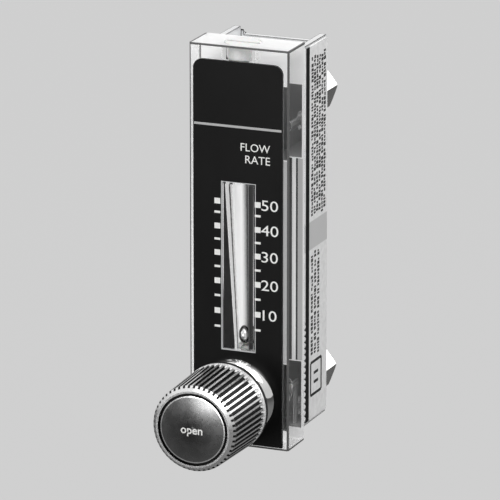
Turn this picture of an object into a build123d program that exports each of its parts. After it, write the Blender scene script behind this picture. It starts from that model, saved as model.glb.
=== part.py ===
from build123d import *
from math import atan2, cos, pi, sin
import os

# Panel-mounted variable-area flow indicator with a needle valve, in millimetres.
# The origin is the middle of the mounting face at the back of the frame, half-way
# between the two ports. +X is to the right seen from the front, the front faces -Y
# and +Z is up. Positions along the valve are measured from the front face of the body.

# Clear body
body_width = 31.3
body_height = 121.0
body_depth = 12.8
overall_depth = 34.0
body_edge_chamfer = 0.5
port_spacing = 87.4
inlet_height = 7.8
valve_height = 15.2
inlet_boss_top = 24.0
outlet_boss_below = 9.0
outlet_boss_above = 13.0
boss_clearance = 0.25

# Tapered metering tube, bored in the body with its right-hand wall upright
tube_depth = 6.4
tube_wall_x = 3.3
tube_bottom_radius = 3.05
tube_top_radius = 4.6
float_seat_height = 30.0
tube_top_height = 80.5
float_seat_thickness = 1.5
tube_fit = 0.1
riser_radius = 1.25

# Float and the stops at both ends of its travel
float_radius = 2.65
float_gap = 0.3
seat_hole_radius = 0.9
seat_slot_width = 0.9
seat_slot_depth = 0.6
stop_rod_radius = 0.8
stop_foot_radius = 2.4
stop_foot_thickness = 1.2
stop_rod_insert = 3.0

# Plug that closes the top of the tube
plug_radius = 5.5
plug_head_thickness = 4.3
plug_pilot_radius = 4.45
plug_pilot_length = 5.5
plug_slot_width = 1.2
plug_slot_depth = 1.3
plug_edge_chamfer = 0.4

# Scale plate
plate_width = 28.0
plate_thickness = 1.0
plate_top_margin = 4.3
plate_bottom_margin = 1.0
plate_corner_radius = 2.8
window_width = 10.2
window_offset = 0.25
window_bottom_height = 29.7
window_height = 50.6
window_fit = 0.15
window_chamfer = 0.45

# Frame: a folded channel behind the body
frame_inset = 1.1
frame_thickness = 2.0
frame_bottom_gap = 3.2
frame_top_gap = 2.0
frame_bend_radius = 2.4
frame_corner_radius = 2.2
frame_seat_gap = 0.1
web_notch = 2.5
web_notch_side_gap = 0.9
panel_hole_spacing = 44.0
panel_hole_radius = 1.7
frame_screw_above_valve = 5.6
frame_screw_above_outlet = 9.8

# Flat-head screws that hold the frame to the body
screw_radius = 1.5
screw_length = 9.0
screw_head_radius = 2.9
screw_slot_width = 0.8
screw_slot_depth = 0.7
screw_fit = 0.05
screw_point_length = 0.4
screw_end_gap = 0.3

# Label on the right-hand side of the frame
label_thickness = 0.25
label_front_gap = 2.4
label_rear_gap = 1.5
label_end_gap = 0.8

# Port adapters
adapter_length = 26.5
adapter_hex_length = 14.0
adapter_across_flats = 12.7
adapter_hex_turn = 9.5
adapter_hex_chamfer = 0.8
adapter_collar_radius = 3.8
adapter_thread_radius = 3.2
adapter_thread_length = 7.0
adapter_pilot_radius = 2.7
adapter_pilot_length = 4.0
adapter_fit = 0.1
adapter_end_gap = 0.5
port_thread_radius = 4.3
port_thread_depth = 10.0
passage_radius = 1.5
adapter_passage_radius = 1.2
cross_passage_gap = 3.0
passage_plug_length = 2.4

# Round sealing rings
o_ring_section = 1.5
adapter_ring_section = 1.0
o_ring_fit = 0.02

# Valve bonnet: a polished dome on the plate with a neck inside the knob
bonnet_radius = 12.3
bonnet_rim_height = 1.1
bonnet_dome_height = 5.0
bonnet_dome_radius = 7.4
bonnet_neck_radius = 6.4
bonnet_neck_front = 15.0
bonnet_shank_radius = 4.9
bonnet_shank_end = 4.5
bonnet_bore_radius = 3.6
bonnet_gland_wall = 4.0
bonnet_fit = 0.1

# Valve chamber and seat in the body
chamber_radius = 4.2
chamber_end = 11.0
valve_seat_radius = 3.0
valve_seat_thickness = 2.0
valve_orifice_radius = 1.1
seat_fit = 0.02

# Stem, turned by the knob and held at one height by its collar
stem_radius = 2.5
stem_front = 30.0
stem_running_fit = 0.05
stem_collar_radius = 3.4
stem_collar_thickness = 1.4
stem_collar_gap = 0.1
stem_thread_radius = 1.95
stem_thread_length = 7.6
stem_flat_depth = 0.6

# Needle: a sleeve with two flats on the stem's thread, and a tapered point
needle_travel = 2.8
needle_end_gap = 0.3
needle_sleeve_radius = 3.5
needle_flat_half_width = 2.9
needle_flat_fit = 0.1
needle_thread_fit = 0.1
needle_sleeve_rear = 4.0
needle_rod_radius = 1.5
needle_taper_start = 8.6
needle_point_end = 12.2
needle_orifice_gap = 0.1

# Fluted knob
knob_front = 35.2
knob_rear = 10.5
knob_rear_radius = 13.5
knob_front_radius = 12.9
knob_lip_length = 1.5
knob_bevel_length = 1.5
knob_bevel_radius = 11.5
knob_cavity_radius = 10.6
knob_cavity_depth = 13.5
flute_count = 50
flute_width = 0.85
flute_depth = 0.7
flute_margin = 0.6
cap_recess_radius = 10.9
cap_recess_depth = 1.2
cap_radius = 10.1
cap_edge_thickness = 1.1
cap_dome_height = 0.9
set_screw_radius = 1.5
set_screw_length = 6.0
set_screw_position = 27.5
set_screw_hex = 0.75
set_screw_hex_depth = 1.6

# Places along Y, front to back
body_front_y = -overall_depth
body_rear_y = body_front_y + body_depth
web_inner_y = -frame_thickness
boss_rear_y = web_inner_y - frame_seat_gap
tube_y = body_front_y + tube_depth

# Heights along Z
inlet_z = -port_spacing / 2
outlet_z = port_spacing / 2
body_bottom_z = inlet_z - inlet_height
body_top_z = body_bottom_z + body_height
valve_z = body_bottom_z + valve_height
seat_top_z = body_bottom_z + float_seat_height
tube_bottom_z = seat_top_z - float_seat_thickness
tube_top_z = body_bottom_z + tube_top_height
plug_shoulder_z = body_top_z - plug_head_thickness
frame_bottom_z = body_bottom_z + frame_bottom_gap
frame_top_z = body_top_z - frame_top_gap
inlet_boss_bottom_z = frame_bottom_z + boss_clearance

# Widths and centres across X
frame_width = body_width - 2 * frame_inset
boss_width = frame_width - 2 * (frame_thickness + boss_clearance)
tube_bottom_x = tube_wall_x - tube_bottom_radius
tube_top_x = tube_wall_x - tube_top_radius

# Frame screws, one above each port
frame_screw_heights = [valve_z + frame_screw_above_valve, outlet_z + frame_screw_above_outlet]

# Planes and axes shared by the pieces
valve_plane = Plane(origin=(0, body_front_y, valve_z), x_dir=(0, 1, 0), z_dir=(1, 0, 0))
valve_axis = Axis((0, body_front_y, valve_z), (0, 1, 0))
tube_top_plane = Plane(origin=(tube_top_x, tube_y, 0), x_dir=(1, 0, 0), z_dir=(0, -1, 0))
tube_top_axis = Axis((tube_top_x, tube_y, 0), (0, 0, 1))


def front_plane(y):
    """Plane across the object at depth y, facing the front, with local y upward."""
    return Plane.XZ.offset(-y)


def port_plane(z):
    """Plane through a port's axis, with local x to the rear and local y as the radius."""
    return Plane(origin=(0, 0, z), x_dir=(0, 1, 0), z_dir=(1, 0, 0))


def port_axis(z):
    """Axis of the port at height z, pointing to the rear."""
    return Axis((0, 0, z), (0, 1, 0))


# Ring grooves: the ring's middle circle, so that it fills the gland around it
plug_ring_radius = tube_top_radius - o_ring_fit - o_ring_section / 2
plug_ring_z = plug_shoulder_z - plug_pilot_length / 2
groove_half = o_ring_section / 2 + o_ring_fit
plug_groove_radius = plug_ring_radius - groove_half
adapter_bore_radius = adapter_pilot_radius + adapter_fit
adapter_ring_radius = adapter_bore_radius - o_ring_fit - adapter_ring_section / 2
adapter_groove_half = adapter_ring_section / 2 + o_ring_fit
adapter_pilot_y = web_inner_y - adapter_thread_length
adapter_end_y = adapter_pilot_y - adapter_pilot_length
adapter_ring_y = adapter_pilot_y - adapter_pilot_length / 2
adapter_groove_radius = adapter_ring_radius - adapter_groove_half
stem_ring_radius = stem_radius + stem_running_fit + o_ring_fit + o_ring_section / 2
bonnet_ring_radius = bonnet_shank_radius + o_ring_fit + o_ring_section / 2

# Places along the valve, from the body's front face
gland_rear = -bonnet_neck_front + bonnet_gland_wall
stem_ring_place = -bonnet_neck_front + bonnet_gland_wall / 2
collar_front = gland_rear + stem_collar_gap
collar_rear = collar_front + stem_collar_thickness
stem_thread_end = collar_rear + stem_thread_length
sleeve_front = collar_rear + needle_end_gap + needle_travel
sleeve_bore_end = stem_thread_end + needle_end_gap + needle_travel
needle_orifice_radius = valve_orifice_radius - needle_orifice_gap
seat_rear = chamber_end + valve_seat_thickness
taper_slope = (needle_rod_radius - needle_orifice_radius) / (chamber_end - needle_taper_start)
needle_point_radius = needle_rod_radius - taper_slope * (needle_point_end - needle_taper_start)
inlet_passage_end = adapter_end_y - adapter_end_gap
cross_passage_y = inlet_passage_end - cross_passage_gap

# Clear body: front block, two bosses that reach the frame and the window pad
with BuildPart() as meter_body:
    with BuildSketch(front_plane(body_rear_y)):
        with Locations((0, (body_bottom_z + body_top_z) / 2)):
            Rectangle(body_width, body_height)
    extrude(amount=body_depth)
    upright_edges = meter_body.edges().filter_by(Axis.Z)
    chamfer(upright_edges, length=body_edge_chamfer)
    inlet_boss_height = body_bottom_z + inlet_boss_top - inlet_boss_bottom_z
    outlet_boss_height = outlet_boss_below + outlet_boss_above
    with BuildSketch(front_plane(boss_rear_y)):
        with Locations((0, inlet_boss_bottom_z + inlet_boss_height / 2)):
            Rectangle(boss_width, inlet_boss_height)
        with Locations((0, outlet_z - outlet_boss_below + outlet_boss_height / 2)):
            Rectangle(boss_width, outlet_boss_height)
    extrude(amount=boss_rear_y - body_rear_y)
    with BuildSketch(front_plane(body_front_y)):
        with Locations((window_offset, body_bottom_z + window_bottom_height + window_height / 2)):
            Rectangle(window_width, window_height)
    extrude(amount=plate_thickness)
    pad_face = meter_body.faces().filter_by(Plane.XZ).sort_by(Axis.Y)[0]
    chamfer(pad_face.edges(), length=window_chamfer)

    # Metering tube: an oblique cone, straight above its top and stopped by a pocket below
    with BuildSketch(Plane.XY.offset(tube_bottom_z)):
        with Locations((tube_bottom_x, tube_y)):
            Circle(tube_bottom_radius)
    extrude(amount=float_seat_thickness, mode=Mode.SUBTRACT)
    with BuildSketch(Plane.XY.offset(seat_top_z)):
        with Locations((tube_bottom_x, tube_y)):
            Circle(tube_bottom_radius)
    with BuildSketch(Plane.XY.offset(tube_top_z)):
        with Locations((tube_top_x, tube_y)):
            Circle(tube_top_radius)
    loft(mode=Mode.SUBTRACT)
    with BuildSketch(Plane.XY.offset(tube_top_z)):
        with Locations((tube_top_x, tube_y)):
            Circle(tube_top_radius)
    extrude(amount=plug_shoulder_z - tube_top_z, mode=Mode.SUBTRACT)
    with BuildSketch(Plane.XY.offset(plug_shoulder_z)):
        with Locations((tube_top_x, tube_y)):
            Circle(plug_radius + tube_fit)
    extrude(amount=plug_head_thickness, mode=Mode.SUBTRACT)

    # Valve chamber, opened from the front, with its seat pocket and the passage behind
    passage_end = cross_passage_y - body_front_y + passage_radius
    with BuildSketch(valve_plane):
        with BuildLine():
            Polyline(
                (-plate_thickness, 0),
                (-plate_thickness, bonnet_shank_radius + bonnet_fit),
                (bonnet_shank_end + bonnet_fit, bonnet_shank_radius + bonnet_fit),
                (bonnet_shank_end + bonnet_fit, chamber_radius),
                (chamber_end, chamber_radius),
                (chamber_end, valve_seat_radius + seat_fit),
                (seat_rear, valve_seat_radius + seat_fit),
                (seat_rear, passage_radius),
                (passage_end, passage_radius),
                (passage_end, 0),
                close=True,
            )
        make_face()
    revolve(axis=valve_axis, mode=Mode.SUBTRACT)
    with BuildSketch(valve_plane):
        with Locations((0, bonnet_ring_radius)):
            Rectangle(2 * o_ring_section, 2 * groove_half)
    revolve(axis=valve_axis, mode=Mode.SUBTRACT)

    # Riser from the valve chamber to the tube
    with BuildSketch(Plane.XY.offset(valve_z)):
        with Locations((tube_bottom_x, tube_y)):
            Circle(riser_radius)
    extrude(amount=tube_bottom_z - valve_z, mode=Mode.SUBTRACT)

    # Inlet: stepped bore for the adapter, and a cross passage up to the valve
    with BuildSketch(port_plane(inlet_z)):
        with BuildLine():
            Polyline(
                (web_inner_y, 0),
                (web_inner_y, adapter_thread_radius + adapter_fit),
                (adapter_pilot_y, adapter_thread_radius + adapter_fit),
                (adapter_pilot_y, adapter_bore_radius),
                (inlet_passage_end, adapter_bore_radius),
                (inlet_passage_end, passage_radius),
                (cross_passage_y, passage_radius),
                (cross_passage_y, 0),
                close=True,
            )
        make_face()
    revolve(axis=port_axis(inlet_z), mode=Mode.SUBTRACT)
    with BuildSketch(Plane.XY.offset(inlet_boss_bottom_z)):
        with Locations((0, cross_passage_y)):
            Circle(passage_radius)
    extrude(amount=valve_z - inlet_boss_bottom_z, mode=Mode.SUBTRACT)

    # Outlet: stepped bore for the adapter, and a passage to the tube
    with BuildSketch(port_plane(outlet_z)):
        with BuildLine():
            Polyline(
                (web_inner_y, 0),
                (web_inner_y, adapter_thread_radius + adapter_fit),
                (adapter_pilot_y, adapter_thread_radius + adapter_fit),
                (adapter_pilot_y, adapter_bore_radius),
                (inlet_passage_end, adapter_bore_radius),
                (inlet_passage_end, passage_radius),
                (tube_y, passage_radius),
                (tube_y, 0),
                close=True,
            )
        make_face()
    revolve(axis=port_axis(outlet_z), mode=Mode.SUBTRACT)

    # Blind holes for the frame screws
    with BuildSketch(front_plane(web_inner_y)):
        with Locations(*[(0, z) for z in frame_screw_heights]):
            Circle(screw_radius + screw_fit)
    extrude(amount=screw_length, mode=Mode.SUBTRACT)
meter_body.part.label = "meter_body"

# Black scale plate, cut out for the window pad and the valve
with BuildPart() as scale_plate:
    plate_height = body_height - plate_top_margin - plate_bottom_margin
    with BuildSketch(front_plane(body_front_y)):
        with Locations((0, body_bottom_z + plate_bottom_margin + plate_height / 2)):
            Rectangle(plate_width, plate_height)
    extrude(amount=plate_thickness)
    upper_edges = scale_plate.edges().filter_by(Axis.Y).group_by(Axis.Z)[-1]
    fillet(upper_edges, radius=plate_corner_radius)
    with BuildSketch(front_plane(body_front_y)):
        with Locations((window_offset, body_bottom_z + window_bottom_height + window_height / 2)):
            Rectangle(window_width + 2 * window_fit, window_height + 2 * window_fit)
        with Locations((0, valve_z)):
            Circle(bonnet_shank_radius + bonnet_fit)
    extrude(amount=plate_thickness, mode=Mode.SUBTRACT)
scale_plate.part.label = "scale_plate"

# Folded channel: two flanges and a web with a notch at its top
with BuildPart() as rear_frame:
    flange_depth = -body_rear_y - frame_seat_gap
    frame_height = frame_top_z - frame_bottom_z
    with BuildSketch(Plane.XY.offset(frame_bottom_z)):
        with Locations((0, -flange_depth / 2)):
            Rectangle(frame_width, flange_depth)
    extrude(amount=frame_height)
    bend_edges = rear_frame.edges().filter_by(Axis.Z).group_by(Axis.Y)[-1]
    fillet(bend_edges, radius=frame_bend_radius)
    inner_width = frame_width - 2 * frame_thickness
    with BuildSketch(Plane.XY.offset(frame_bottom_z)):
        with Locations((0, -flange_depth / 2 - frame_thickness / 2)):
            Rectangle(inner_width, flange_depth - frame_thickness)
    extrude(amount=frame_height, mode=Mode.SUBTRACT)
    with BuildSketch(front_plane(0)):
        with Locations((0, frame_top_z - web_notch / 2)):
            Rectangle(inner_width - 2 * web_notch_side_gap, web_notch)
    extrude(amount=frame_thickness, mode=Mode.SUBTRACT)

    # Rounded rear corners of the flanges, cut across both at once
    with BuildSketch(Plane.YZ.offset(-frame_width / 2)):
        with BuildLine():
            top_start = (-frame_corner_radius, frame_top_z)
            top_corner = (0, frame_top_z)
            top_end = (0, frame_top_z - frame_corner_radius)
            Line(top_start, top_corner)
            Line(top_corner, top_end)
            RadiusArc(top_end, top_start, frame_corner_radius)
        make_face()
    extrude(amount=frame_width, mode=Mode.SUBTRACT)

    # Holes for the adapters, the frame screws and the panel screws
    with BuildSketch(front_plane(0)):
        with Locations((0, inlet_z), (0, outlet_z)):
            Circle(adapter_collar_radius + adapter_fit)
        with Locations((0, -panel_hole_spacing / 2), (0, panel_hole_spacing / 2)):
            Circle(panel_hole_radius)
    extrude(amount=frame_thickness, mode=Mode.SUBTRACT)
    screw_planes = [Plane(origin=(0, 0, z), x_dir=(-1, 0, 0), z_dir=(0, 1, 0)) for z in frame_screw_heights]
    with Locations(*screw_planes):
        CounterSinkHole(screw_radius + screw_fit, screw_head_radius + screw_fit, depth=frame_thickness)
rear_frame.part.label = "rear_frame"

# Flat-head screws, flush with the mounting face
with BuildPart() as frame_screws:
    head_depth = screw_head_radius - screw_radius
    screw_point_y = web_inner_y - screw_length + screw_end_gap
    for z in frame_screw_heights:
        with BuildSketch(port_plane(z)):
            with BuildLine():
                Polyline(
                    (0, 0),
                    (0, screw_head_radius),
                    (-head_depth, screw_radius),
                    (screw_point_y + screw_point_length, screw_radius),
                    (screw_point_y, screw_radius - screw_point_length),
                    (screw_point_y, 0),
                    close=True,
                )
            make_face()
        revolve(axis=port_axis(z))
        with BuildSketch(front_plane(0)):
            with Locations((0, z)):
                Rectangle(2 * screw_head_radius, screw_slot_width)
        extrude(amount=screw_slot_depth, mode=Mode.SUBTRACT)
frame_screws.part.label = "frame_screws"

# Label on the right-hand flange
with BuildPart() as side_label:
    label_front_y = body_rear_y + label_front_gap
    label_depth = -label_rear_gap - label_front_y
    label_height = frame_top_z - frame_bottom_z - 2 * label_end_gap
    with BuildSketch(Plane.YZ.offset(frame_width / 2)):
        with Locations((label_front_y + label_depth / 2, (frame_top_z + frame_bottom_z) / 2)):
            Rectangle(label_depth, label_height)
    extrude(amount=label_thickness)
    label_corner = side_label.edges().filter_by(Axis.X).group_by(Axis.Z)[-1].sort_by(Axis.Y)[-1]
    fillet(label_corner, radius=frame_corner_radius - label_rear_gap)
side_label.part.label = "side_label"


def port_adapter(z):
    """Hexagon adapter: pipe thread at the rear, threaded spigot and ring pilot in front.

    z is the height of the port's axis.
    """
    hex_front_y = adapter_length - adapter_hex_length
    corner_radius = adapter_across_flats / 2 / cos(pi / 6)
    drill_point_y = adapter_length - port_thread_depth - (port_thread_radius - adapter_passage_radius) / 2
    with BuildPart() as adapter:
        with BuildSketch(front_plane(adapter_length)):
            with Locations((0, z)):
                RegularPolygon(adapter_across_flats / 2, 6, major_radius=False, rotation=adapter_hex_turn)
        extrude(amount=adapter_hex_length)
        with BuildSketch(port_plane(z)):
            with BuildLine():
                Polyline(
                    (hex_front_y, 0),
                    (hex_front_y, corner_radius - adapter_hex_chamfer),
                    (hex_front_y + adapter_hex_chamfer / 2, corner_radius),
                    (adapter_length - adapter_hex_chamfer / 2, corner_radius),
                    (adapter_length, corner_radius - adapter_hex_chamfer),
                    (adapter_length, 0),
                    close=True,
                )
            make_face()
        revolve(axis=port_axis(z), mode=Mode.INTERSECT)
        with BuildSketch(port_plane(z)):
            with BuildLine():
                Polyline(
                    (hex_front_y, 0),
                    (hex_front_y, adapter_collar_radius),
                    (boss_rear_y, adapter_collar_radius),
                    (boss_rear_y, adapter_thread_radius),
                    (adapter_pilot_y, adapter_thread_radius),
                    (adapter_pilot_y, adapter_pilot_radius),
                    (adapter_ring_y + adapter_groove_half, adapter_pilot_radius),
                    (adapter_ring_y + adapter_groove_half, adapter_groove_radius),
                    (adapter_ring_y - adapter_groove_half, adapter_groove_radius),
                    (adapter_ring_y - adapter_groove_half, adapter_pilot_radius),
                    (adapter_end_y, adapter_pilot_radius),
                    (adapter_end_y, 0),
                    close=True,
                )
            make_face()
        revolve(axis=port_axis(z))
        with BuildSketch(port_plane(z)):
            with BuildLine():
                Polyline(
                    (adapter_end_y, 0),
                    (adapter_end_y, adapter_passage_radius),
                    (drill_point_y, adapter_passage_radius),
                    (adapter_length - port_thread_depth, port_thread_radius),
                    (adapter_length, port_thread_radius),
                    (adapter_length, 0),
                    close=True,
                )
            make_face()
        revolve(axis=port_axis(z), mode=Mode.SUBTRACT)
    return adapter


def sealing_ring(centre, axis_direction, ring_radius, section):
    """Round sealing ring of the given section, around an axis through centre."""
    ring_plane = Plane(origin=centre, z_dir=axis_direction)
    with BuildPart(ring_plane) as ring:
        Torus(ring_radius, section / 2)
    return ring


inlet_adapter = port_adapter(inlet_z)
inlet_adapter.part.label = "inlet_adapter"
outlet_adapter = port_adapter(outlet_z)
outlet_adapter.part.label = "outlet_adapter"
inlet_o_ring = sealing_ring((0, adapter_ring_y, inlet_z), (0, 1, 0), adapter_ring_radius, adapter_ring_section)
inlet_o_ring.part.label = "inlet_o_ring"
outlet_o_ring = sealing_ring((0, adapter_ring_y, outlet_z), (0, 1, 0), adapter_ring_radius, adapter_ring_section)
outlet_o_ring.part.label = "outlet_o_ring"

# Plug that closes the lower end of the cross passage
with BuildPart() as passage_plug:
    with BuildSketch(Plane.XY.offset(inlet_boss_bottom_z)):
        with Locations((0, cross_passage_y)):
            Circle(passage_radius - seat_fit)
    extrude(amount=passage_plug_length)
passage_plug.part.label = "passage_plug"

# Float ball, 0.3 mm off its seat and off the upright wall of the tube
float_x = tube_wall_x - float_gap - float_radius
float_z = seat_top_z + float_gap + float_radius
with BuildPart(Plane(origin=(float_x, tube_y, float_z))) as float_ball:
    Sphere(float_radius)
float_ball.part.label = "float_ball"

# Float seat: a slotted disc in the pocket below the tube
with BuildPart() as float_seat:
    with BuildSketch(Plane.XY.offset(tube_bottom_z)):
        with Locations((tube_bottom_x, tube_y)):
            Circle(tube_bottom_radius - tube_fit)
            Circle(seat_hole_radius, mode=Mode.SUBTRACT)
    extrude(amount=float_seat_thickness)
    with BuildSketch(Plane.XY.offset(seat_top_z)):
        with Locations((tube_bottom_x, tube_y)):
            Rectangle(2 * tube_bottom_radius, seat_slot_width)
            Rectangle(seat_slot_width, 2 * tube_bottom_radius)
    extrude(amount=-seat_slot_depth, mode=Mode.SUBTRACT)
float_seat.part.label = "float_seat"

# Upper stop: a rod that hangs from the top plug
stop_rod_top_z = plug_shoulder_z - plug_pilot_length + stop_rod_insert
with BuildPart() as float_stop:
    with BuildSketch(tube_top_plane):
        with BuildLine():
            Polyline(
                (0, tube_top_z),
                (stop_foot_radius, tube_top_z),
                (stop_foot_radius, tube_top_z + stop_foot_thickness),
                (stop_rod_radius, tube_top_z + stop_foot_thickness),
                (stop_rod_radius, stop_rod_top_z),
                (0, stop_rod_top_z),
                close=True,
            )
        make_face()
    revolve(axis=tube_top_axis)
float_stop.part.label = "float_stop"

# Top plug with its ring groove and screwdriver slot
with BuildPart() as top_plug:
    pilot_end_z = plug_shoulder_z - plug_pilot_length
    with BuildSketch(tube_top_plane):
        with BuildLine():
            Polyline(
                (stop_rod_radius, pilot_end_z),
                (plug_pilot_radius, pilot_end_z),
                (plug_pilot_radius, plug_ring_z - groove_half),
                (plug_groove_radius, plug_ring_z - groove_half),
                (plug_groove_radius, plug_ring_z + groove_half),
                (plug_pilot_radius, plug_ring_z + groove_half),
                (plug_pilot_radius, plug_shoulder_z),
                (plug_radius, plug_shoulder_z),
                (plug_radius, body_top_z - plug_edge_chamfer),
                (plug_radius - plug_edge_chamfer, body_top_z),
                (0, body_top_z),
                (0, stop_rod_top_z),
                (stop_rod_radius, stop_rod_top_z),
                close=True,
            )
        make_face()
    revolve(axis=tube_top_axis)
    with BuildSketch(Plane.XY.offset(body_top_z)):
        with Locations((tube_top_x, tube_y)):
            Rectangle(2 * plug_radius, plug_slot_width)
    extrude(amount=-plug_slot_depth, mode=Mode.SUBTRACT)
top_plug.part.label = "top_plug"

plug_ring_centre = (tube_top_x, tube_y, plug_ring_z)
plug_o_ring = sealing_ring(plug_ring_centre, (0, 0, 1), plug_ring_radius, o_ring_section)
plug_o_ring.part.label = "plug_o_ring"

# Valve bonnet: domed rim on the plate, neck in front, shank in the body
with BuildPart() as valve_bonnet:
    rim_front = -plate_thickness - bonnet_rim_height
    dome_front = -plate_thickness - bonnet_dome_height
    with BuildSketch(valve_plane):
        with BuildLine():
            Line((bonnet_shank_end, 0), (bonnet_shank_end, bonnet_shank_radius))
            Line((bonnet_shank_end, bonnet_shank_radius), (-plate_thickness, bonnet_shank_radius))
            Line((-plate_thickness, bonnet_shank_radius), (-plate_thickness, bonnet_radius))
            Line((-plate_thickness, bonnet_radius), (rim_front, bonnet_radius))
            dome = TangentArc((rim_front, bonnet_radius), (dome_front, bonnet_dome_radius), tangent=(-1, 0))
            Line(dome @ 1, (dome_front, bonnet_neck_radius))
            Line((dome_front, bonnet_neck_radius), (-bonnet_neck_front, bonnet_neck_radius))
            Line((-bonnet_neck_front, bonnet_neck_radius), (-bonnet_neck_front, 0))
            Line((-bonnet_neck_front, 0), (bonnet_shank_end, 0))
        make_face()
    revolve(axis=valve_axis)
    flat_width = 2 * (needle_flat_half_width + needle_flat_fit)
    bore_length = bonnet_shank_end - gland_rear
    with BuildSketch(front_plane(body_front_y + bonnet_shank_end)):
        with Locations((0, valve_z)):
            Circle(bonnet_bore_radius)
            Rectangle(2 * bonnet_bore_radius, flat_width, mode=Mode.INTERSECT)
    extrude(amount=bore_length, mode=Mode.SUBTRACT)
    with BuildSketch(valve_plane):
        with BuildLine():
            Polyline(
                (-bonnet_neck_front, 0),
                (-bonnet_neck_front, stem_radius + stem_running_fit),
                (stem_ring_place - groove_half, stem_radius + stem_running_fit),
                (stem_ring_place - groove_half, stem_ring_radius + groove_half),
                (stem_ring_place + groove_half, stem_ring_radius + groove_half),
                (stem_ring_place + groove_half, stem_radius + stem_running_fit),
                (gland_rear, stem_radius + stem_running_fit),
                (gland_rear, bonnet_bore_radius),
                (collar_rear + needle_end_gap, bonnet_bore_radius),
                (collar_rear + needle_end_gap, 0),
                close=True,
            )
        make_face()
    revolve(axis=valve_axis, mode=Mode.SUBTRACT)
valve_bonnet.part.label = "valve_bonnet"

stem_ring_centre = (0, body_front_y + stem_ring_place, valve_z)
stem_o_ring = sealing_ring(stem_ring_centre, (0, 1, 0), stem_ring_radius, o_ring_section)
stem_o_ring.part.label = "stem_o_ring"
bonnet_ring_centre = (0, body_front_y + o_ring_section / 2, valve_z)
bonnet_o_ring = sealing_ring(bonnet_ring_centre, (0, 1, 0), bonnet_ring_radius, o_ring_section)
bonnet_o_ring.part.label = "bonnet_o_ring"

# Valve seat: a ring pressed into the end of the chamber
with BuildPart() as valve_seat:
    with BuildSketch(front_plane(body_front_y + seat_rear)):
        with Locations((0, valve_z)):
            Circle(valve_seat_radius)
            Circle(valve_orifice_radius, mode=Mode.SUBTRACT)
    extrude(amount=valve_seat_thickness)
valve_seat.part.label = "valve_seat"

# Stem: knob end, collar behind the gland, thread in the needle
with BuildPart() as stem:
    with BuildSketch(valve_plane):
        with BuildLine():
            Polyline(
                (-stem_front, 0),
                (-stem_front, stem_radius),
                (collar_front, stem_radius),
                (collar_front, stem_collar_radius),
                (collar_rear, stem_collar_radius),
                (collar_rear, stem_thread_radius),
                (stem_thread_end, stem_thread_radius),
                (stem_thread_end, 0),
                close=True,
            )
        make_face()
    revolve(axis=valve_axis)
    flat_length = stem_front - set_screw_position + set_screw_radius + needle_end_gap
    with BuildSketch(front_plane(body_front_y - stem_front + flat_length)):
        with Locations((0, valve_z - stem_radius + stem_flat_depth / 2)):
            Rectangle(2 * stem_radius, stem_flat_depth)
    extrude(amount=flat_length, mode=Mode.SUBTRACT)
stem.part.label = "stem"

# Needle: threaded sleeve with two flats, rod and tapered point
with BuildPart() as needle:
    with BuildSketch(valve_plane):
        with BuildLine():
            Polyline(
                (sleeve_front, 0),
                (sleeve_front, needle_sleeve_radius),
                (needle_sleeve_rear, needle_sleeve_radius),
                (needle_sleeve_rear, needle_rod_radius),
                (needle_taper_start, needle_rod_radius),
                (needle_point_end, needle_point_radius),
                (needle_point_end, 0),
                close=True,
            )
        make_face()
    revolve(axis=valve_axis)
    sleeve_length = needle_sleeve_rear - sleeve_front
    with BuildSketch(front_plane(body_front_y + needle_sleeve_rear)):
        with Locations((0, valve_z)):
            Rectangle(4 * needle_sleeve_radius, 4 * needle_sleeve_radius)
            Rectangle(4 * needle_sleeve_radius, 2 * needle_flat_half_width, mode=Mode.SUBTRACT)
    extrude(amount=sleeve_length, mode=Mode.SUBTRACT)
    with BuildSketch(front_plane(body_front_y + sleeve_bore_end)):
        with Locations((0, valve_z)):
            Circle(stem_thread_radius + needle_thread_fit)
    extrude(amount=sleeve_bore_end - sleeve_front, mode=Mode.SUBTRACT)
needle.part.label = "needle"

# Knob: tapered body, plain lip behind, bevelled rim in front and straight flutes
flute_front = knob_front - knob_bevel_length
flute_rear = knob_rear + knob_lip_length
taper_angle = atan2(knob_rear_radius - knob_front_radius, flute_front - flute_rear)
flute_middle = (flute_front + flute_rear) / 2
flute_middle_radius = (knob_rear_radius + knob_front_radius) / 2


def flute_plane(number):
    """Plane on the knob's tapered side at one flute, facing outward, with local x to the rear."""
    turn = 2 * pi * number / flute_count
    outward = Vector(sin(turn), 0, cos(turn))
    rearward = Vector(0, 1, 0)
    middle = Vector(0, body_front_y - flute_middle, valve_z) + outward * flute_middle_radius
    along = rearward * cos(taper_angle) + outward * sin(taper_angle)
    normal = outward * cos(taper_angle) - rearward * sin(taper_angle)
    return Plane(origin=middle, x_dir=along, z_dir=normal)


with BuildPart() as knob:
    cap_seat = -knob_front + cap_recess_depth
    with BuildSketch(valve_plane):
        with BuildLine():
            Polyline(
                (-knob_rear, knob_cavity_radius),
                (-knob_rear, knob_rear_radius),
                (-flute_rear, knob_rear_radius),
                (-flute_front, knob_front_radius),
                (-knob_front, knob_bevel_radius),
                (-knob_front, cap_recess_radius),
                (cap_seat, cap_recess_radius),
                (cap_seat, 0),
                (-stem_front - needle_end_gap, 0),
                (-stem_front - needle_end_gap, stem_radius),
                (-knob_rear - knob_cavity_depth, stem_radius),
                (-knob_rear - knob_cavity_depth, knob_cavity_radius),
                close=True,
            )
        make_face()
    revolve(axis=valve_axis)
    with BuildSketch(*[flute_plane(number) for number in range(flute_count)]):
        SlotOverall(flute_front - flute_rear - 2 * flute_margin, flute_width)
    extrude(amount=-flute_depth, mode=Mode.SUBTRACT)
    with BuildSketch(Plane(origin=(0, body_front_y - set_screw_position, valve_z), z_dir=(0, 0, -1))):
        Circle(set_screw_radius)
    extrude(amount=knob_rear_radius, mode=Mode.SUBTRACT)
knob.part.label = "knob"

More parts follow.
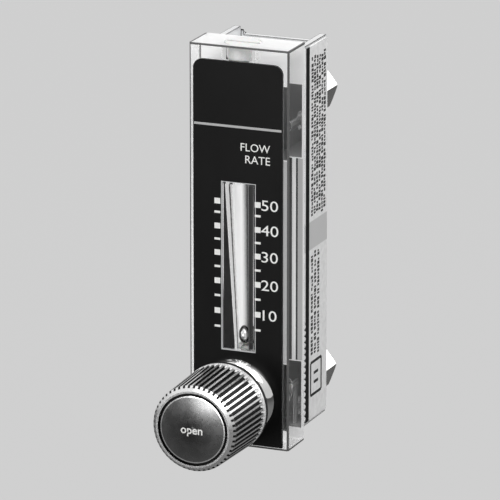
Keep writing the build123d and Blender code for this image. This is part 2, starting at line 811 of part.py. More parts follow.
# Knob cap: a shallow dome in the recess of the knob's face
with BuildPart() as knob_cap:
    cap_front_edge = cap_seat - cap_edge_thickness
    with BuildSketch(valve_plane):
        with BuildLine():
            Line((cap_seat, 0), (cap_seat, cap_radius))
            Line((cap_seat, cap_radius), (cap_front_edge, cap_radius))
            crown = (cap_front_edge - cap_dome_height, 0)
            TangentArc(crown, (cap_front_edge, cap_radius), tangent=(0, 1))
            Line(crown, (cap_seat, 0))
        make_face()
    revolve(axis=valve_axis)
knob_cap.part.label = "knob_cap"

# Set screw that holds the knob on the flat of the stem
with BuildPart() as knob_set_screw:
    set_screw_inner = stem_radius - stem_flat_depth
    set_screw_plane = Plane(
        origin=(0, body_front_y - set_screw_position, valve_z - set_screw_inner), z_dir=(0, 0, -1)
    )
    with BuildSketch(set_screw_plane):
        Circle(set_screw_radius)
    extrude(amount=set_screw_length)
    with BuildSketch(set_screw_plane.offset(set_screw_length)):
        RegularPolygon(set_screw_hex, 6, major_radius=False)
    extrude(amount=-set_screw_hex_depth, mode=Mode.SUBTRACT)
knob_set_screw.part.label = "knob_set_screw"

pieces = [
    meter_body,
    scale_plate,
    rear_frame,
    frame_screws,
    side_label,
    inlet_adapter,
    outlet_adapter,
    inlet_o_ring,
    outlet_o_ring,
    passage_plug,
    float_ball,
    float_seat,
    float_stop,
    top_plug,
    plug_o_ring,
    valve_bonnet,
    stem_o_ring,
    bonnet_o_ring,
    valve_seat,
    stem,
    needle,
    knob,
    knob_cap,
    knob_set_screw,
]

os.makedirs("parts", exist_ok=True)
for piece in pieces:
    export_step(piece.part, f"parts/{piece.part.label}.step")
    print(piece.part.label, round(piece.part.volume, 1))
print("float travel", tube_top_z - float_gap - float_radius - float_z)
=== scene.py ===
"""Finishes, print and studio for a panel flow indicator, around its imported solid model.

Sizes are in millimetres and become metres where a mesh, a lamp or the camera is made.
The front faces -Y, +Z is up and +X is to the right seen from the front.
"""

import logging
import math
import random
from dataclasses import dataclass
from enum import Enum
from functools import reduce
from typing import Any

import bmesh
import bpy
from mathutils import Matrix, Vector


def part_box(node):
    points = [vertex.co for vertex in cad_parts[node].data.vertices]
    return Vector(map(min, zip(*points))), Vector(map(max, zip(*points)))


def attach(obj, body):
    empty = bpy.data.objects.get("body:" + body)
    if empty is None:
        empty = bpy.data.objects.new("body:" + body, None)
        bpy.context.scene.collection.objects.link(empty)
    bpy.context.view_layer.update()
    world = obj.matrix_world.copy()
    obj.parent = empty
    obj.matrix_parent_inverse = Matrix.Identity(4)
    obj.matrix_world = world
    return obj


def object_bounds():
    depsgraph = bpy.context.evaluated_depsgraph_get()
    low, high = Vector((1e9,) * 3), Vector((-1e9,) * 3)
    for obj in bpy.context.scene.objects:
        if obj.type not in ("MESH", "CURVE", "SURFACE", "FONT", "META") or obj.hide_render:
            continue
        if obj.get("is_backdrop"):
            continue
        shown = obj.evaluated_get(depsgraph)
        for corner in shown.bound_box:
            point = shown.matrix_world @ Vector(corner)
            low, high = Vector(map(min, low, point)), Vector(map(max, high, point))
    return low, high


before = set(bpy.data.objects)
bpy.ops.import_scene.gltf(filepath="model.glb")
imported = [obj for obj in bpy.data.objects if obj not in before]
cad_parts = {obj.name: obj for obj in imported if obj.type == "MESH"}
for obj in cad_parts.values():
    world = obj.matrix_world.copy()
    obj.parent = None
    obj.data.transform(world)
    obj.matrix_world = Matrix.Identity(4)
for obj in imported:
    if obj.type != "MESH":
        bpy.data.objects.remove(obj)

log = logging.getLogger("flow_indicator")

MM = 0.001
# a limit that lies beyond every part of the object
FAR = 1000.0
# widths over which the edge of a mask fades: a machined edge, a painted one and a frosted one
CRISP, PAINTED, FROSTED = 0.02, 0.06, 0.3
# nearly all of a noise texture's values lie between these
NOISE_LOW, NOISE_HIGH = 0.3, 0.7
# steps in each bend of a letter
LETTER_STEPS = 4
Point = tuple[float, float, float]
Span = tuple[float, float]
Tree = bpy.types.NodeTree
Socket = bpy.types.NodeSocket
Material = bpy.types.Material
Mesh = bpy.types.Mesh
BMesh = bmesh.types.BMesh


class Slot(Enum):
    """Names of material slots of the record."""

    PLATE = "black_plate"
    CAP = "cap_aluminium"
    LABEL = "label_film"
    BRASS = "plated_brass"


class Ride(Enum):
    """Bodies that pieces move with."""

    METER = "meter"
    KNOB = "knob_and_stem"


def linear(hex_code: str) -> tuple[float, float, float, float]:
    """Turns an sRGB hex colour into linear values.

    Args:
        hex_code: colour written as #RRGGBB.

    Returns:
        Linear red, green, blue and an alpha of 1.
    """
    channels = []
    for start in (1, 3, 5):
        value = int(hex_code[start:start + 2], 16) / 255
        channels.append(value / 12.92 if value <= 0.04045 else ((value + 0.055) / 1.055) ** 2.4)
    return (channels[0], channels[1], channels[2], 1.0)


def add(
    tree: Tree, kind: str, *values: Any, into: dict[str, Any] | None = None, **settings: Any
) -> Any:
    """Adds a node, sets its properties and fills or links its inputs.

    Args:
        tree: node tree that takes the node.
        kind: type name without ShaderNode, and after a dot its operation or data type.
        values: numbers, hex colours or output sockets for the inputs in use, in order.
        into: the same for inputs that are given by name.
        settings: other property names and values.

    Returns:
        The node's first output in use, or None where it has none.
    """
    kind, _, variant = kind.partition(".")
    node = tree.nodes.new(f"ShaderNode{kind}")
    if variant:
        settings["operation" if hasattr(node, "operation") else "data_type"] = variant
    for name, value in settings.items():
        setattr(node, name, value)
    in_use = [socket for socket in node.inputs if socket.enabled]
    named = [(node.inputs[name], value) for name, value in (into or {}).items()]
    for socket, value in [*zip(in_use, values), *named]:
        if isinstance(value, Socket):
            tree.links.new(value, socket)
        else:
            socket.default_value = linear(value) if isinstance(value, str) else value
    return next((socket for socket in node.outputs if socket.enabled), None)


def blank(name: str) -> tuple[Material, Tree, Socket, Socket, Socket, Socket]:
    """Makes a material that knows its piece's own coordinates in millimetres.

    Args:
        name: the material's name.

    Returns:
        The material, its node tree, and sockets of the point, X, Y and Z.
    """
    material = bpy.data.materials.new(name)
    material.use_nodes = True
    tree = material.node_tree
    tree.nodes.clear()
    own = add(tree, "TexCoord").node.outputs["Object"]
    point = add(tree, "VectorMath.SCALE", own, 1 / MM)
    x, y, z = add(tree, "SeparateXYZ", point).node.outputs
    return material, tree, point, x, y, z


def lit(tree: Tree, relief: Socket, depth_mm: float, inputs: dict[str, Any]) -> Socket:
    """Gives a surface with a relief of a real depth.

    Args:
        tree: node tree that takes the nodes.
        relief: height of the relief, from 0 to 1.
        depth_mm: depth of the relief.
        inputs: the shader's other inputs by name.

    Returns:
        The shader.
    """
    bump = add(tree, "Bump", into={"Height": relief, "Distance": depth_mm * MM})
    return add(tree, "BsdfPrincipled", into={"Normal": bump, **inputs})


def grain(tree: Tree, point: Socket, size_mm: float | Point, detail: float = 3.0) -> Socket:
    """Gives an uneven pattern, from 0 to 1, whose grain has a real size.

    Args:
        tree: node tree that takes the nodes.
        point: coordinates in millimetres.
        size_mm: size of one grain, or its sizes along X, Y and Z.
        detail: octaves of finer unevenness.

    Returns:
        The pattern's value.
    """
    sizes = size_mm if isinstance(size_mm, tuple) else (size_mm,) * 3
    scaled = add(tree, "VectorMath.DIVIDE", point, sizes)
    cloud = add(tree, "TexNoise", scaled, 1.0, detail)
    return add(tree, "MapRange", cloud, NOISE_LOW, NOISE_HIGH)


def wave_mm(tree: Tree, distance: Socket, pitch_mm: float) -> Socket:
    """Gives a wave, from -1 to 1, that repeats at a real pitch."""
    turning = add(tree, "Math.MULTIPLY", distance, 2 * math.pi / pitch_mm)
    return add(tree, "Math.SINE", turning)


def radius_from(tree: Tree, x: Socket, z: Socket, centre: Span) -> Socket:
    """Gives the distance from an axis that runs along Y.

    Args:
        tree: node tree that takes the nodes.
        x: X in millimetres.
        z: Z in millimetres.
        centre: X and Z of the axis.

    Returns:
        The distance in millimetres.
    """
    flat = add(tree, "CombineXYZ", x, z)
    return add(tree, "VectorMath.DISTANCE", flat, (*centre, 0.0))


def between(tree: Tree, value: Socket, low: float, high: float, soft: float = PAINTED) -> Socket:
    """Gives 1 where a value lies between two limits and 0 outside, with soft edges.

    Args:
        tree: node tree that takes the nodes.
        value: value in millimetres.
        low: lower limit.
        high: upper limit.
        soft: width of each edge.

    Returns:
        The mask, from 0 to 1.
    """
    reach = add(tree, "Math.ABSOLUTE", add(tree, "Math.SUBTRACT", value, (low + high) / 2))
    half = (high - low) / 2
    return add(tree, "MapRange", reach, half - soft / 2, half + soft / 2, 1.0, 0.0)


def combined(tree: Tree, operation: str, *values: Any) -> Socket:
    """Combines values one after another by one operation.

    Args:
        tree: node tree that takes the nodes.
        operation: MULTIPLY where all masks have to hold, MAXIMUM where one is enough, or ADD.
        values: sockets or numbers.

    Returns:
        The combined value.
    """
    return reduce(lambda first, second: add(tree, f"Math.{operation}", first, second), values)


def seen_by(tree: Tree, *rays: str) -> Socket:
    """Gives 1 for rays of the named kinds and 0 for the others."""
    path = add(tree, "LightPath").node.outputs
    return combined(tree, "MAXIMUM", *(path[f"Is {ray} Ray"] for ray in rays))


def box_mm(node: str) -> tuple[Vector, Vector]:
    """Gives a node's lowest and highest corners in millimetres."""
    low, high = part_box(node)
    return Vector(low) / MM, Vector(high) / MM


@dataclass
class Block:
    """Places in the clear block that its finishes and its neighbours' are laid out by."""

    body_depth: float = 12.8
    valve_height: float = 15.2
    window_offset: float = 0.25
    window_bottom_height: float = 29.7
    window_size: Span = (10.2, 50.6)
    tube_heights: Span = (29.0, 81.0)
    tube_depth: float = 6.4
    tube_right: float = 3.3

    def __post_init__(self) -> None:
        """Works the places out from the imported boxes."""
        low, high = box_mm("meter_body")
        self.bottom_z, self.top_z, self.half_width = low.z, high.z, high.x
        self.front_y = box_mm("scale_plate")[1].y
        self.rear_y = self.front_y + self.body_depth
        self.tube_y = self.front_y + self.tube_depth
        self.valve_axis = (0.0, self.bottom_z + self.valve_height)
        width, height = self.window_size
        window_bottom = self.bottom_z + self.window_bottom_height
        self.window_x = (self.window_offset - width / 2, self.window_offset + width / 2)
        self.window_z = (window_bottom, window_bottom + height)
        self.tube_z = (self.bottom_z + self.tube_heights[0], self.bottom_z + self.tube_heights[1])


@dataclass
class KnobShape:
    """The knob's outline, from its box and its turned sizes."""

    bevel_length: float = 1.5
    lip_length: float = 1.5
    front_radius: float = 12.9
    rear_radius: float = 13.5
    recess_radius: float = 10.95

    def __post_init__(self) -> None:
        """Works out where the taper starts and ends, and its slope."""
        low, high = box_mm("knob")
        self.rear_y = high.y
        self.taper_front = low.y + self.bevel_length
        taper_rear = high.y - self.lip_length
        self.slope = (self.rear_radius - self.front_radius) / (taper_rear - self.taper_front)


@dataclass(frozen=True)
class ClearAcrylic:
    """Cast acrylic, milled and polished: water-clear, with satin walls in its drilled holes.

    The tube's rear wall is frosted white, with painted shade that darkens it toward its right so
    that the float stands out, and a painted glow. The rear face is frosted too, with a fainter
    painted glow, and painted black behind the window as painted shade. A dark border stroke beyond
    the black and a grey zone beside it, both painted shade, and painted shade on the pads that the
    frame bears on are what the eye meets through the block's side. The top is left milled and
    frosted, and the chamfers are painted dark grey as painted shade along the edges. Light passes
    through to the pieces inside.
    """

    block: Block
    name: str = "polished_acrylic"
    clear: str = "#FFFFFF"
    frosted: str = "#FAFAFA"
    # painted shade colours: black, and dark grey for the chamfers
    blackened: str = "#262626"
    machined: str = "#585858"
    ior: float = 1.49
    # a slow ripple of 9 mm, left by polishing, bends what is seen through the block a little
    ripple_mm: float = 9.0
    ripple_detail: float = 1.0
    relief_mm: float = 0.004
    frosted_roughness: float = 0.5
    drilled_roughness: float = 0.3
    drilled_reach: float = 5.6
    drilled_start: float = 0.2
    chamfer_reach: float = 0.53
    wall_frosting: float = 0.95
    # painted glow: the frosted walls give off light of their own, standing in for light that the
    # block carries from its ends
    wall_glow: float = 0.5
    rear_frosting: float = 0.85
    # painted glow on the pale part of the rear face
    rear_glow: float = 0.26
    top_frosting: float = 0.6
    # the frosted wall starts behind the tube's axis, or on its right behind the front face
    wall_start: float = 0.6
    right_wall_start: float = 1.0
    wall_end: float = 0.3
    wall_left: float = -6.4
    wall_margin: float = 0.1
    # painted shade: the wall's colour darkens between these distances from its right
    shade_reach: Span = (4.8, 1.05)
    shade_softness: float = 0.2
    rear_skin: float = 0.05
    # painted shade: black on the rear face behind the window, for the shaded channel seen through
    # it
    black_x: Span = (-8.8, 2.4)
    # how far the painted black shade passes the window's bottom and top
    black_margin: Span = (5.4, 5.6)
    # painted shade: a dark stroke on the rear face and a grey zone beside it
    border_x: Span = (6.4, 8.3)
    overspray_x: Span = (8.3, 13.2)
    overspray_softness: float = 0.6
    overspray: float = 0.42
    # painted shade on the rear of the pads
    pad_start: float = 0.1
    pad_softness: float = 0.05
    pad_dark: float = 0.62

    def wall_masks(self, tree: Tree, x: Socket, y: Socket, z: Socket) -> tuple[Socket, Socket]:
        """Marks the tube's frosted wall.

        Args:
            tree: node tree that takes the nodes.
            x: X in millimetres.
            y: Y in millimetres.
            z: Z in millimetres.

        Returns:
            Masks of the whole wall and of its dark share, which is painted shade.
        """
        block = self.block
        right, end = block.tube_right + self.wall_margin, block.rear_y - self.wall_end
        shade_start, shade_end = (block.tube_right - reach for reach in self.shade_reach)
        tube = between(tree, z, *block.tube_z, FROSTED)
        rear = combined(
            tree, "MULTIPLY", tube,
            between(tree, y, block.tube_y + self.wall_start, end, FROSTED),
            between(tree, x, self.wall_left, right),
        )
        side = combined(
            tree, "MULTIPLY", tube,
            between(tree, y, block.front_y + self.right_wall_start, end, FROSTED),
            between(tree, x, shade_end, right, self.shade_softness),
        )
        wall = add(tree, "Math.MAXIMUM", rear, side)
        # painted shade: the wall darkens toward its right
        shade = add(tree, "MapRange", x, shade_start, shade_end)
        return wall, add(tree, "Math.MULTIPLY", wall, shade)

    def black_mask(self, tree: Tree, x: Socket, z: Socket, rear: Socket) -> Socket:
        """Marks the painted shade on the rear face: black behind the window, a dark stroke and a
        grey zone beside it.

        Args:
            tree: node tree that takes the nodes.
            x: X in millimetres.
            z: Z in millimetres.
            rear: mask of the rear face.

        Returns:
            The mask.
        """
        overspray = between(tree, x, *self.overspray_x, self.overspray_softness)
        strokes = combined(
            tree, "MAXIMUM",
            between(tree, x, *self.black_x),
            between(tree, x, *self.border_x),
            add(tree, "Math.MULTIPLY", overspray, self.overspray),
        )
        bottom = self.block.window_z[0] - self.black_margin[0]
        top = self.block.window_z[1] + self.black_margin[1]
        return combined(tree, "MULTIPLY", rear, strokes, between(tree, z, bottom, top))

    def chamfer_mask(self, tree: Tree, x: Socket, y: Socket, z: Socket) -> Socket:
        """Marks the chamfers of the front, the top and the foot, which are painted dark as painted
        shade.

        Args:
            tree: node tree that takes the nodes.
            x: X in millimetres.
            y: Y in millimetres.
            z: Z in millimetres.

        Returns:
            The mask.
        """
        block = self.block
        off_z = add(tree, "Math.SUBTRACT", z, (block.bottom_z + block.top_z) / 2)
        half_height = (block.top_z - block.bottom_z) / 2
        near = (
            add(tree, "Math.SUBTRACT", block.half_width, add(tree, "Math.ABSOLUTE", x)),
            add(tree, "Math.SUBTRACT", y, block.front_y),
            add(tree, "Math.SUBTRACT", half_height, add(tree, "Math.ABSOLUTE", off_z)),
        )
        # on a chamfer the two nearest faces are together one chamfer away
        total, widest = combined(tree, "ADD", *near), combined(tree, "MAXIMUM", *near)
        nearest = add(tree, "Math.SUBTRACT", total, widest)
        return between(tree, nearest, -CRISP, self.chamfer_reach, CRISP)

    def make(self) -> Material:
        """Makes the material.

        Returns:
            The material.
        """
        block = self.block
        material, tree, point, x, y, z = blank(self.name)
        radius = radius_from(tree, x, z, block.valve_axis)
        drilled = combined(
            tree, "MULTIPLY",
            between(tree, radius, -FAR, self.drilled_reach),
            between(tree, y, block.front_y + self.drilled_start, FAR),
        )
        rear = between(tree, y, block.rear_y - self.rear_skin, block.rear_y + self.rear_skin, CRISP)
        top = between(tree, z, block.top_z - CRISP, FAR, CRISP)
        pads = between(tree, y, block.rear_y + self.pad_start, FAR, self.pad_softness)
        wall, wall_dark = self.wall_masks(tree, x, y, z)
        black_rear = self.black_mask(tree, x, z, rear)
        chamfers = self.chamfer_mask(tree, x, y, z)
        # painted shade: the pads, the black on the rear, the wall's dark share and the chamfers
        pads_dark = add(tree, "Math.MULTIPLY", pads, self.pad_dark)
        dark = combined(tree, "MAXIMUM", pads_dark, black_rear, wall_dark, chamfers)
        opaque = combined(
            tree, "MAXIMUM", dark,
            add(tree, "Math.MULTIPLY", wall, self.wall_frosting),
            add(tree, "Math.MULTIPLY", rear, self.rear_frosting),
            add(tree, "Math.MULTIPLY", top, self.top_frosting),
        )
        passing = add(tree, "Math.SUBTRACT", 1.0, opaque)
        # painted glow where the tube's wall and the rear face are pale
        wall_light = add(tree, "Math.SUBTRACT", wall, wall_dark)
        pale_rear = add(tree, "Math.SUBTRACT", rear, black_rear)
        rear_light = add(tree, "Math.MULTIPLY", pale_rear, self.rear_glow)
        light = add(tree, "Mix.RGBA", opaque, self.clear, self.frosted)
        # painted shade: black, and dark grey on the chamfers
        paint = add(tree, "Mix.RGBA", chamfers, self.blackened, self.machined)
        rough = add(tree, "Math.MULTIPLY", drilled, self.drilled_roughness)
        ripple = grain(tree, point, self.ripple_mm, self.ripple_detail)
        shader = lit(tree, ripple, self.relief_mm, {
            "Base Color": add(tree, "Mix.RGBA", dark, light, paint),
            "IOR": self.ior,
            "Transmission Weight": passing,
            "Roughness": add(tree, "Math.MULTIPLY_ADD", opaque, self.frosted_roughness, rough),
            "Emission Color": self.frosted,
            "Emission Strength": add(
                tree, "Math.MULTIPLY_ADD", wall_light, self.wall_glow, rear_light
            ),
        })
        open_share = add(tree, "Math.MULTIPLY", seen_by(tree, "Shadow", "Diffuse"), passing)
        through = add(tree, "BsdfTransparent", self.clear)
        add(tree, "OutputMaterial", add(tree, "MixShader", open_share, shader, through))
        return material


@dataclass(frozen=True)
class SatinEnamel:
    """Stoved black enamel on the front of an aluminium plate: a satin sheen with a fine peel.

    The plate's rear and the cut edge round its window are bare metal.
    """

    block: Block
    name: str = "satin_black_enamel"
    colour: str = "#080808"
    worn: str = "#0E0E0E"
    bare: str = "#C9CACB"
    roughness: Span = (0.37, 0.47)
    gloss: float = 0.14
    bare_metal_share: float = 0.5
    wear_mm: Point = (14.0, 14.0, 22.0)
    # real orange peel of about 0.5 mm is at the edge of what shows
    peel_mm: float = 0.5
    peel_detail: float = 2.0
    relief_mm: float = 0.004
    edge_mm: float = 0.34
    edge_softness: float = 0.08
    rear_skin: float = 0.1

    def make(self) -> Material:
        """Makes the material.

        Returns:
            The material.
        """
        material, tree, point, x, y, z = blank(self.name)
        left, right = self.block.window_x
        bottom, top = self.block.window_z
        edge = combined(
            tree, "MULTIPLY",
            between(tree, x, left - self.edge_mm, right + self.edge_mm, self.edge_softness),
            between(tree, z, bottom - self.edge_mm, top + self.edge_mm, self.edge_softness),
        )
        rear = between(tree, y, self.block.front_y - self.rear_skin, FAR)
        bare = add(tree, "Math.MAXIMUM", edge, rear)
        enamel = add(tree, "Mix.RGBA", grain(tree, point, self.wear_mm), self.colour, self.worn)
        peel = grain(tree, point, self.peel_mm, self.peel_detail)
        add(tree, "OutputMaterial", lit(tree, peel, self.relief_mm, {
            "Base Color": add(tree, "Mix.RGBA", bare, enamel, self.bare),
            "Metallic": add(tree, "Math.MULTIPLY", bare, self.bare_metal_share),
            "Roughness": add(tree, "MapRange", peel, 0.0, 1.0, *self.roughness),
            "Specular IOR Level": self.gloss,
        }))
        return material


@dataclass(frozen=True)
class PrintedInk:
    """Screen-printed ink: dense and matt, with the faint grain of the screen."""

    name: str
    colour: str
    thin_colour: str
    roughness: float = 0.55
    gloss: float = 0.3
    # a screen has some 0.1 mm threads; drawn a little coarser, so that it shows
    mesh_mm: float = 0.18
    mesh_detail: float = 2.0
    relief_mm: float = 0.003

    def make(self) -> Material:
        """Makes the material.

        Returns:
            The material.
        """
        material, tree, point, *_ = blank(self.name)
        density = grain(tree, point, self.mesh_mm, self.mesh_detail)
        add(tree, "OutputMaterial", lit(tree, density, self.relief_mm, {
            "Base Color": add(tree, "Mix.RGBA", density, self.colour, self.thin_colour),
            "Roughness": self.roughness,
            "Specular IOR Level": self.gloss,
        }))
        return material


@dataclass(frozen=True)
class DrawnMetal:
    """Metal drawn or rolled one way, then plated or anodised: fine lines along its length."""

    name: str
    colour: str
    shade: str
    roughness: Span
    # size of the lines along X, Y and Z; real ones are near 0.05 mm, drawn coarser so they show
    line_mm: Point
    metal_share: float = 1.0
    line_detail: float = 4.0
    relief_mm: float = 0.004
    cloud_mm: Point = (9.0, 9.0, 16.0)
    # painted shade: edges are painted dark over this width, for the dark outlines that edges show
    edge: str = "#2A2A2A"
    edge_mm: float = 0.5
    # an edge starts and is full where the rounded normal leans this far, as a cosine
    edge_lean: Span = (0.995, 0.95)
    edge_samples: int = 6

    def make(self) -> Material:
        """Makes the material.

        Returns:
            The material.
        """
        material, tree, point, *_ = blank(self.name)
        lines = grain(tree, point, self.line_mm, self.line_detail)
        metal = add(tree, "Mix.RGBA", grain(tree, point, self.cloud_mm), self.colour, self.shade)
        # near an edge the rounded normal leans away from the face's own
        rounded = add(tree, "Bevel", self.edge_mm * MM, samples=self.edge_samples)
        own = add(tree, "NewGeometry").node.outputs["Normal"]
        lean = add(tree, "VectorMath.DOT_PRODUCT", rounded, own)
        # painted shade along the edges
        edge = add(tree, "MapRange", lean, *self.edge_lean)
        add(tree, "OutputMaterial", lit(tree, lines, self.relief_mm, {
            "Base Color": add(tree, "Mix.RGBA", edge, metal, self.edge),
            "Metallic": self.metal_share,
            "Roughness": add(tree, "MapRange", lines, 0.0, 1.0, *self.roughness),
        }))
        return material


@dataclass(frozen=True)
class PolishedSteel:
    """Buffed stainless steel: a mirror with a trace of hairline from the mop."""

    name: str = "buffed_stainless_steel"
    colour: str = "#EDEDEC"
    roughness: Span = (0.03, 0.08)
    # hairlines run round a turned piece; 0.12 mm is coarser than the real 0.02 mm, so they show
    hairline_mm: Point = (1.2, 0.12, 1.2)
    relief_mm: float = 0.001

    def make(self) -> Material:
        """Makes the material.

        Returns:
            The material.
        """
        material, tree, point, *_ = blank(self.name)
        hairline = grain(tree, point, self.hairline_mm)
        add(tree, "OutputMaterial", lit(tree, hairline, self.relief_mm, {
            "Base Color": self.colour,
            "Metallic": 1.0,
            "Roughness": add(tree, "MapRange", hairline, 0.0, 1.0, *self.roughness),
        }))
        return material


@dataclass(frozen=True)
class MirrorBall:
    """Polished steel ball, with painted reflection: its limb is painted near black for the black
    plate that it mirrors, and its middle is pale.
    """

    name: str = "mirror_steel_ball"
    colour: str = "#F2F2F2"
    limb: str = "#050505"
    metal_share: float = 0.7
    roughness: Span = (0.06, 0.11)
    # painted reflection: the limb starts and is full where the surface has turned this far from the
    # eye, of 1
    limb_share: Span = (0.16, 0.3)
    # lapping leaves pits of about 0.3 mm
    lapping_mm: float = 0.3
    relief_mm: float = 0.0005

    def make(self) -> Material:
        """Makes the material.

        Returns:
            The material.
        """
        material, tree, point, *_ = blank(self.name)
        lapping = grain(tree, point, self.lapping_mm)
        facing = add(tree, "LayerWeight", 0.5).node.outputs["Facing"]
        # painted reflection: the limb darkens as the surface turns from the eye
        limb = add(tree, "MapRange", facing, *self.limb_share)
        add(tree, "OutputMaterial", lit(tree, lapping, self.relief_mm, {
            "Base Color": add(tree, "Mix.RGBA", limb, self.colour, self.limb),
            "Metallic": self.metal_share,
            "Roughness": add(tree, "MapRange", lapping, 0.0, 1.0, *self.roughness),
        }))
        return material


@dataclass(frozen=True)
class TurnedKnob:
    """Aluminium turned on a lathe and anodised, with black painted shade in its flutes and cap
    groove.

    The lip behind the flutes is blasted, so it scatters light where the rest mirrors it.
    """

    block: Block
    shape: KnobShape
    name: str = "turned_anodised_aluminium"
    colour: str = "#E6E6E6"
    lip_colour: str = "#F4F4F4"
    # painted shade: black in the flutes, the cap groove, the rear band and the nicks
    paint: str = "#0A0A0A"
    metal_share: float = 0.9
    roughness: Span = (0.24, 0.32)
    paint_roughness: float = 0.3
    gloss: float = 0.25
    lip_dullness: float = 0.6
    # tool marks of 0.22 mm, about the real feed of a finishing cut
    turning_mm: float = 0.22
    turning_share: float = 0.3
    speckle_mm: float = 0.8
    relief_mm: float = 0.002
    # painted shade lies this far under the taper, and also where the flutes' wave passes the spread
    flute_edge_mm: float = 0.06
    flute_count: int = 50
    spread: float = -0.5
    spread_softness: float = 0.15
    bevel_margin: float = 0.2
    flute_softness: float = 0.1
    # painted shadow: a black band at the knob's rear, for the shade in the gap before the bonnet
    rear_band_mm: float = 1.5
    lip_mm: float = 3.4
    lip_softness: float = 0.2
    # painted shade: dark nicks at the flutes' ends make the bevel's outer edge look toothed
    nick_radius: float = 12.3
    nick_spread: float = 0.1
    nick_softness: float = 0.2

    def flute_mask(self, tree: Tree, x: Socket, y: Socket, z: Socket, radius: Socket) -> Socket:
        """Marks the painted shade in the flutes and in the nicks on the bevel.

        Args:
            tree: node tree that takes the nodes.
            x: X in millimetres.
            y: Y in millimetres.
            z: Z in millimetres.
            radius: distance from the knob's axis.

        Returns:
            The mask.
        """
        shape = self.shape
        front = shape.front_radius - shape.slope * shape.taper_front - self.flute_edge_mm
        wall = add(tree, "Math.MULTIPLY_ADD", y, shape.slope, front)
        under = add(tree, "Math.SUBTRACT", radius, wall)
        off_z = add(tree, "Math.SUBTRACT", z, self.block.valve_axis[1])
        angle = add(tree, "Math.ARCTAN2", x, off_z)
        wave = add(tree, "Math.COSINE", add(tree, "Math.MULTIPLY", angle, self.flute_count))
        sunk = add(
            tree, "Math.MAXIMUM",
            between(tree, under, -FAR, 0.0),
            between(tree, wave, self.spread, FAR, self.spread_softness),
        )
        start, end = shape.taper_front + self.bevel_margin, shape.rear_y - self.lip_mm
        flutes = add(tree, "Math.MULTIPLY", sunk, between(tree, y, start, end, self.flute_softness))
        nicks = combined(
            tree, "MULTIPLY",
            between(tree, radius, self.nick_radius, FAR),
            between(tree, y, -FAR, start),
            between(tree, wave, self.nick_spread, FAR, self.nick_softness),
        )
        return add(tree, "Math.MAXIMUM", flutes, nicks)

    def make(self) -> Material:
        """Makes the material.

        Returns:
            The material.
        """
        material, tree, point, x, y, z = blank(self.name)
        radius = radius_from(tree, x, z, self.block.valve_axis)
        rear_y = self.shape.rear_y
        lip_end = rear_y - self.rear_band_mm
        # painted shade: the flutes, the cap groove and the band at the rear
        painted = combined(
            tree, "MAXIMUM",
            self.flute_mask(tree, x, y, z, radius),
            between(tree, radius, -FAR, self.shape.recess_radius),
            between(tree, y, lip_end, FAR),
        )
        lip_start = rear_y - self.lip_mm + self.lip_softness
        lip = between(tree, y, lip_start, lip_end, self.lip_softness)
        bare = add(tree, "Mix.RGBA", lip, self.colour, self.lip_colour)
        lip_dull = add(tree, "Math.MULTIPLY", lip, self.lip_dullness)
        dull = add(tree, "Math.MAXIMUM", painted, lip_dull)
        speckle = grain(tree, point, self.speckle_mm)
        rings = wave_mm(tree, radius, self.turning_mm)
        relief = add(tree, "Math.MULTIPLY_ADD", rings, self.turning_share, speckle)
        rough = add(tree, "MapRange", speckle, 0.0, 1.0, *self.roughness)
        add(tree, "OutputMaterial", lit(tree, relief, self.relief_mm, {
            "Base Color": add(tree, "Mix.RGBA", painted, bare, self.paint),
            "Metallic": add(tree, "Math.MULTIPLY_ADD", dull, -self.metal_share, self.metal_share),
            "Roughness": add(tree, "Math.MULTIPLY_ADD", painted, self.paint_roughness, rough),
            "Specular IOR Level": self.gloss,
        }))
        return material


@dataclass(frozen=True)
class SpunCap:
    """Aluminium spun to a shallow dome and dark anodised: rings round its centre, painted shade
    that darkens it toward the centre, a bright rim.
    """

    block: Block
    rim_radius: float = 9.75
    name: str = "spun_dark_aluminium"
    colour: str = "#828282"
    # painted shade: the face darkens to this toward its centre
    centre_colour: str = "#323232"
    rim_colour: str = "#F4F4F4"
    roughness: Span = (0.23, 0.31)
    # spinning leaves rings of about 0.3 mm
    ring_mm: float = 0.3
    ring_share: float = 0.4
    cloud_mm: float = 2.5
    relief_mm: float = 0.003
    rim_softness: float = 0.08

    def make(self) -> Material:
        """Makes the material.

        Returns:
            The material.
        """
        material, tree, point, x, _, z = blank(self.name)
        radius = radius_from(tree, x, z, self.block.valve_axis)
        # painted shade: darker toward the centre
        outward = add(tree, "Math.DIVIDE", radius, self.rim_radius)
        face = add(tree, "Mix.RGBA", outward, self.centre_colour, self.colour)
        rim = between(tree, radius, self.rim_radius, FAR, self.rim_softness)
        cloud = grain(tree, point, self.cloud_mm)
        rings = wave_mm(tree, radius, self.ring_mm)
        relief = add(tree, "Math.MULTIPLY_ADD", rings, self.ring_share, cloud)
        add(tree, "OutputMaterial", lit(tree, relief, self.relief_mm, {
            "Base Color": add(tree, "Mix.RGBA", rim, face, self.rim_colour),
            "Metallic": 1.0,
            "Roughness": add(tree, "MapRange", cloud, 0.0, 1.0, *self.roughness),
        }))
        return material


@dataclass(frozen=True)
class Moulded:
    """Moulded rubber or plastic: a fine even grain and a soft sheen."""

    name: str
    colour: str
    shade: str
    roughness: float
    grain_mm: float
    subsurface: float = 0.0
    relief_mm: float = 0.006

    def make(self) -> Material:
        """Makes the material.

        Returns:
            The material.
        """
        material, tree, point, *_ = blank(self.name)
        uneven = grain(tree, point, self.grain_mm)
        add(tree, "OutputMaterial", lit(tree, uneven, self.relief_mm, {
            "Base Color": add(tree, "Mix.RGBA", uneven, self.colour, self.shade),
            "Roughness": self.roughness,
            "Subsurface Weight": self.subsurface,
            "Subsurface Scale": MM,
        }))
        return material


